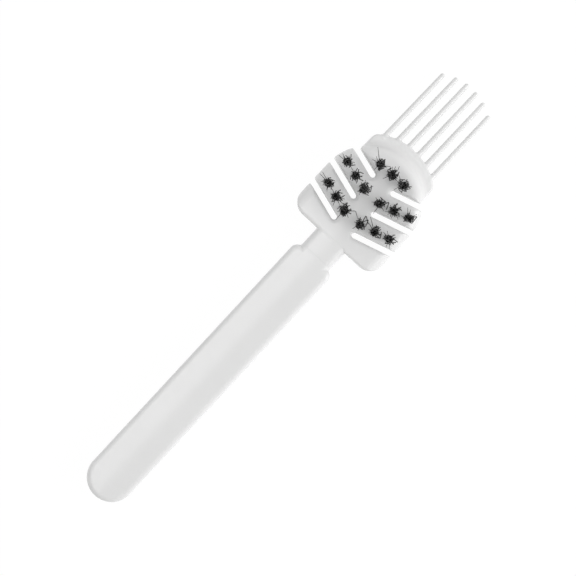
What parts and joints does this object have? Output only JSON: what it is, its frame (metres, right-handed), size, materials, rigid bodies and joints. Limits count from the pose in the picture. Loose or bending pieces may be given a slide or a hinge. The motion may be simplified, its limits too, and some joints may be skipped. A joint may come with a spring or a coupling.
{
  "type": "brush cleaning rake",
  "caption": "Hand tool that cleans hairbrushes: a flat plastic handle, a slotted pad with stapled bristle tufts on its face, and a rake of straight tines at its tip.",
  "frame": {"origin": "on the plane of the flat back, on the centre line, halfway along the whole length", "axes": "+Y along the handle towards the tines, +Z out of the bristled face, +X across the pad"},
  "size_m": [0.0366, 0.1851, 0.0157],
  "materials": {
    "white_plastic": "smooth satin",
    "black_nylon": "drawn filament",
    "anchor_metal": "bright wire"
  },
  "bodies": {
    "root": {"moulded_body": "white_plastic", "bristle_tuft_lower_left_1": "black_nylon", "bristle_tuft_lower_left_2": "black_nylon", "bristle_tuft_lower_left_3": "black_nylon", "bristle_tuft_lower_right_1": "black_nylon", "bristle_tuft_lower_right_2": "black_nylon", "bristle_tuft_lower_right_3": "black_nylon", "bristle_tuft_upper_left_1": "black_nylon", "bristle_tuft_upper_left_2": "black_nylon", "bristle_tuft_upper_left_3": "black_nylon", "bristle_tuft_upper_right_1": "black_nylon", "bristle_tuft_upper_right_2": "black_nylon", "bristle_tuft_upper_right_3": "black_nylon", "bristle_tuft_top_1": "black_nylon", "bristle_tuft_top_2": "black_nylon", "bristle_tuft_top_3": "black_nylon", "anchor_wire_lower_left_1": "anchor_metal", "anchor_wire_lower_left_2": "anchor_metal", "anchor_wire_lower_left_3": "anchor_metal", "anchor_wire_lower_right_1": "anchor_metal", "anchor_wire_lower_right_2": "anchor_metal", "anchor_wire_lower_right_3": "anchor_metal", "anchor_wire_upper_left_1": "anchor_metal", "anchor_wire_upper_left_2": "anchor_metal", "anchor_wire_upper_left_3": "anchor_metal", "anchor_wire_upper_right_1": "anchor_metal", "anchor_wire_upper_right_2": "anchor_metal", "anchor_wire_upper_right_3": "anchor_metal", "anchor_wire_top_1": "anchor_metal", "anchor_wire_top_2": "anchor_metal", "anchor_wire_top_3": "anchor_metal"}
  },
  "joints": []
}
